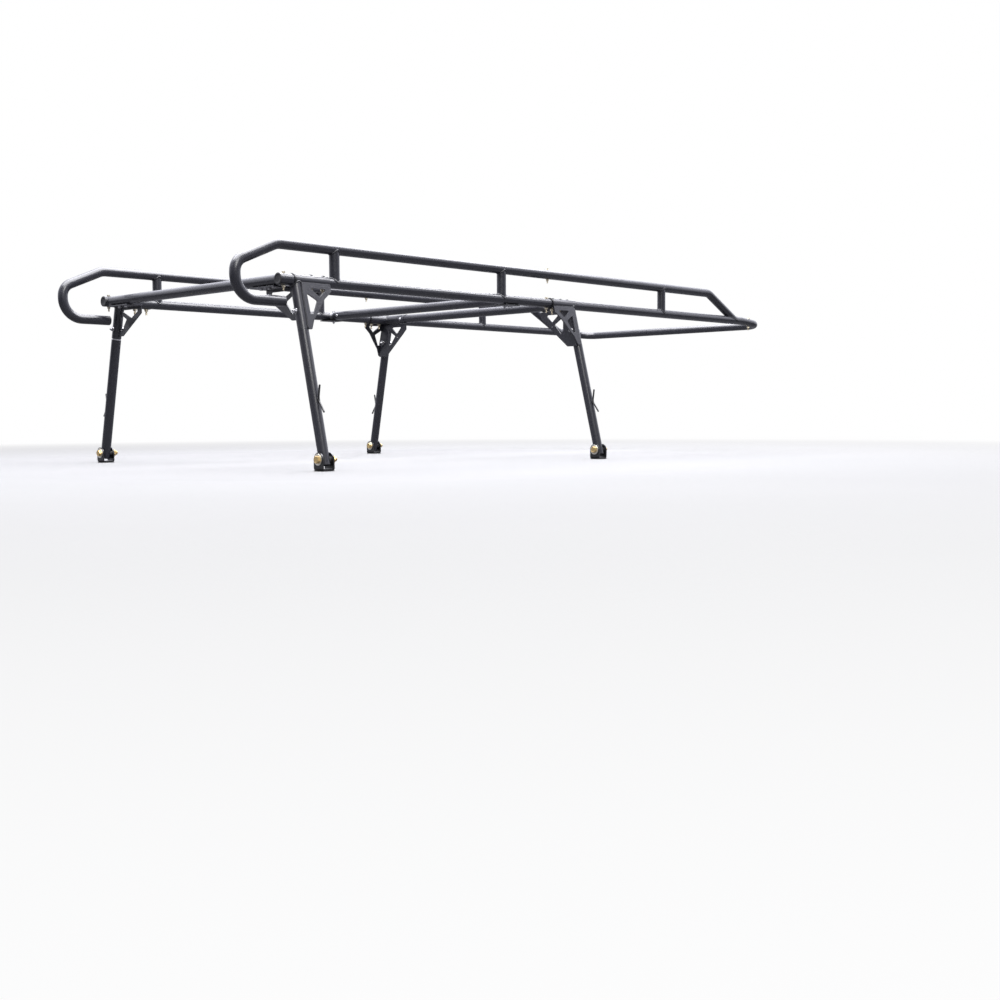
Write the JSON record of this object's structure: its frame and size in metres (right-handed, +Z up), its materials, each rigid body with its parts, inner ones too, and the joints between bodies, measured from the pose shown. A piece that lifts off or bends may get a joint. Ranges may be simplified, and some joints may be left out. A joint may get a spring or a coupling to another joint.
{
  "type": "ladder rack",
  "caption": "Over-cab ladder rack for a pickup bed: round-tube side rails with raised guards, leaning legs on swivel feet, bolted crossbars and a front bar.",
  "frame": {"origin": "centre of the rectangle of the four foot bolts, on the plane of the bed rails that the feet stand on", "axes": "+X to the truck's passenger side (its right when facing forward), +Y forward over the cab, +Z up"},
  "size_m": [1.746, 3.791, 0.9304],
  "materials": {
    "tube_coat": "satin powder coat",
    "bracket_coat": "satin powder coat",
    "black_steel": "semi-gloss black coat",
    "foot_black": "semi-gloss black coat",
    "yellow_zinc": "yellow zinc plating",
    "plain_zinc": "clear zinc plating",
    "pad_rubber": "matt",
    "black_plastic": "matt"
  },
  "bodies": {
    "rack": {"upper_rail_rear_right": "tube_coat", "upper_rail_rear_left": "tube_coat", "upper_rail_front_right": "tube_coat", "upper_rail_front_left": "tube_coat", "lower_rail_rear_right": "tube_coat", "lower_rail_rear_left": "tube_coat", "lower_rail_front_right": "tube_coat", "lower_rail_front_left": "tube_coat", "rail_posts_right": "tube_coat", "rail_posts_left": "tube_coat", "joining_sleeves_right": "plain_zinc", "joining_sleeves_left": "plain_zinc", "front_bar": "tube_coat", "rear_crossbar": "tube_coat", "middle_crossbar": "tube_coat", "front_crossbar": "tube_coat", "middle_bar_plates": "black_steel", "bracket_rear_right": "bracket_coat", "bracket_rear_left": "bracket_coat", "bracket_front_right": "bracket_coat", "bracket_front_left": "bracket_coat", "side_gusset_rear_right": "bracket_coat", "side_gusset_front_right": "bracket_coat", "side_gusset_front_left": "bracket_coat", "bar_gusset_rear_right": "bracket_coat", "bar_gusset_rear_left": "bracket_coat", "bar_gusset_front_right": "bracket_coat", "bar_gusset_front_left": "bracket_coat", "leg_rear_right": "tube_coat", "leg_rear_left": "tube_coat", "leg_front_right": "tube_coat", "leg_front_left": "tube_coat", "leg_sleeves": "plain_zinc", "leg_bolts": "plain_zinc", "leg_pivot_bushes": "plain_zinc", "rope_cleats": "black_steel", "seam_rings": "black_plastic", "tube_end_caps": "black_plastic", "saddle_bolts": "yellow_zinc", "splice_bolts": "yellow_zinc", "crossbar_bolts": "plain_zinc"},
    "foot_rear_right": {"foot_rear_right": "foot_black", "foot_pad_rear_right": "pad_rubber", "pivot_bolt_rear_right": "yellow_zinc", "pivot_nut_rear_right": "yellow_zinc"},
    "foot_rear_left": {"foot_rear_left": "foot_black", "foot_pad_rear_left": "pad_rubber", "pivot_bolt_rear_left": "yellow_zinc", "pivot_nut_rear_left": "yellow_zinc"},
    "foot_front_right": {"foot_front_right": "foot_black", "foot_pad_front_right": "pad_rubber", "pivot_bolt_front_right": "yellow_zinc", "pivot_nut_front_right": "yellow_zinc"},
    "foot_front_left": {"foot_front_left": "foot_black", "foot_pad_front_left": "pad_rubber", "pivot_bolt_front_left": "yellow_zinc", "pivot_nut_front_left": "yellow_zinc"}
  },
  "joints": [
    {"name": "foot_swivel_rear_right", "type": "hinge", "parent": "rack", "child": "foot_rear_right", "pos_m": [0.843, -0.859, 0.046], "axis": [0, 1, 0], "range_deg": [-120, 95]},
    {"name": "foot_swivel_rear_left", "type": "hinge", "parent": "rack", "child": "foot_rear_left", "pos_m": [-0.843, -0.859, 0.046], "axis": [0, 1, 0], "range_deg": [-95, 120]},
    {"name": "foot_swivel_front_right", "type": "hinge", "parent": "rack", "child": "foot_front_right", "pos_m": [0.843, 0.859, 0.046], "axis": [0, 1, 0], "range_deg": [-120, 95]},
    {"name": "foot_swivel_front_left", "type": "hinge", "parent": "rack", "child": "foot_front_left", "pos_m": [-0.843, 0.859, 0.046], "axis": [0, 1, 0], "range_deg": [-95, 120]}
  ]
}
